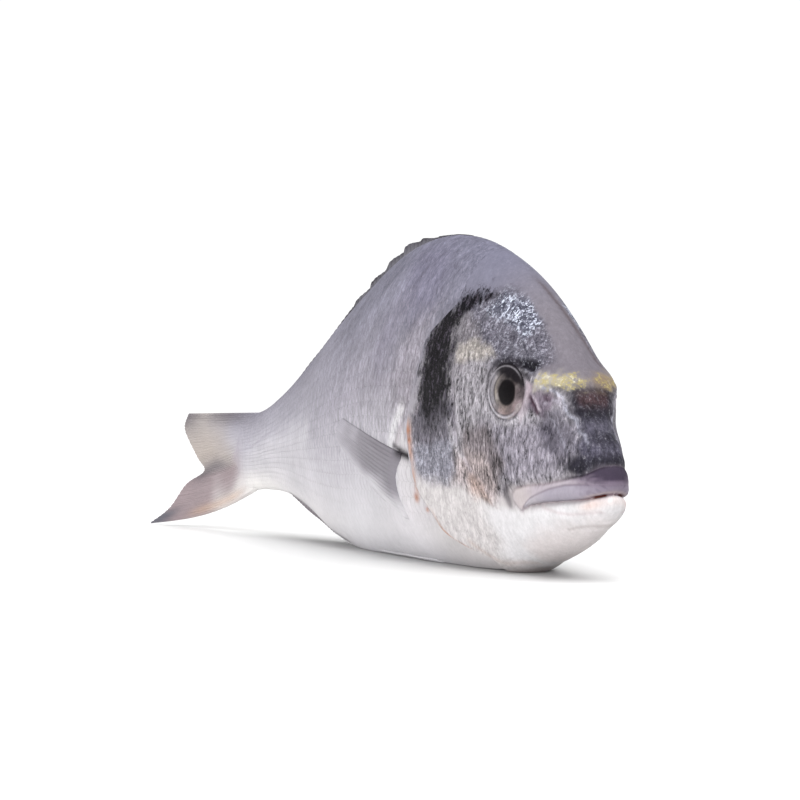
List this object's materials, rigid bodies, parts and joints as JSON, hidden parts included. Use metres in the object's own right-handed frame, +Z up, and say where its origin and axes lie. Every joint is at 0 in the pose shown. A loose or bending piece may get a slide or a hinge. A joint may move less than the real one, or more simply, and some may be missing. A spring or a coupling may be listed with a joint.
{
  "type": "whole raw sea bream",
  "caption": "Whole raw sea bream standing upright on its belly, tail swung gently to one side, with folded back fin, breast fins and forked tail.",
  "frame": {"origin": "centre of the bounding box at its bottom, on the surface that the fish stands on", "axes": "+X towards the head, +Z up, +Y towards the fish's left side"},
  "size_m": [0.3156, 0.0598, 0.1033],
  "materials": {
    "fish_skin": "wet silvery fish skin, smooth and slightly glossy"
  },
  "bodies": {
    "root": {"whole_fish": "fish_skin"}
  },
  "joints": []
}
